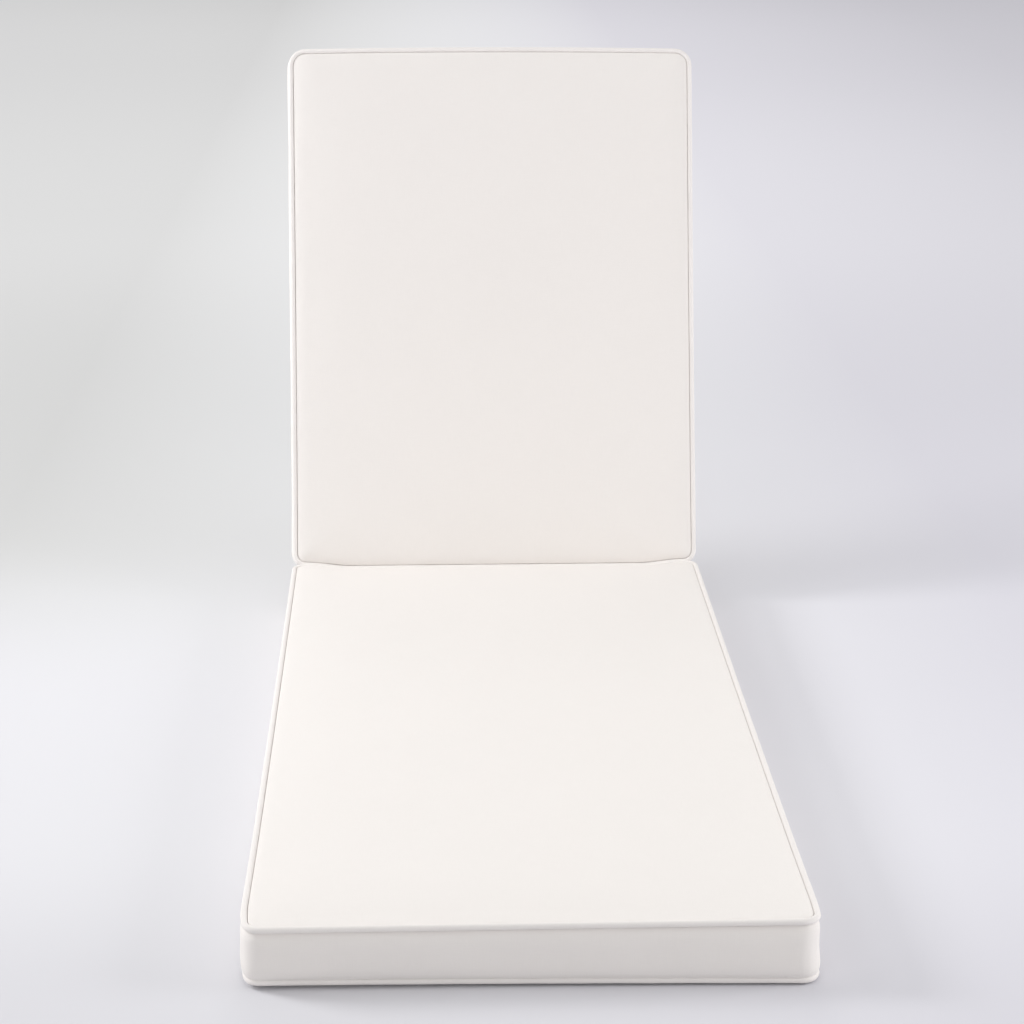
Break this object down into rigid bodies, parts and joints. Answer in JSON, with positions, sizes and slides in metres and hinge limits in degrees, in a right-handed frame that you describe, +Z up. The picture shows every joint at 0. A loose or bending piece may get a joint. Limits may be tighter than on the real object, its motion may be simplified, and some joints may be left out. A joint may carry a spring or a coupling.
{
  "type": "sun lounger cushion",
  "caption": "Boxed and welted lounger cushion in two sections, folded at its sewn hinge: the seat lies flat and the back leans up behind it.",
  "frame": {"origin": "middle of the bounding box's underside, on the surface that the seat lies on", "axes": "+X across the cushion, +Y from the foot end towards the back, +Z up"},
  "size_m": [0.6148, 1.4804, 0.8061],
  "materials": {
    "cover": "off-white plain-woven outdoor canvas, matt",
    "welt": "the same canvas cut on the bias over a cord, matt"
  },
  "bodies": {
    "root": {"seat_pad": "cover", "back_pad": "cover", "seat_top_welt": "welt", "seat_bottom_welt": "welt", "back_front_welt": "welt", "back_rear_welt": "welt", "hinge_strip": "cover"}
  },
  "joints": []
}
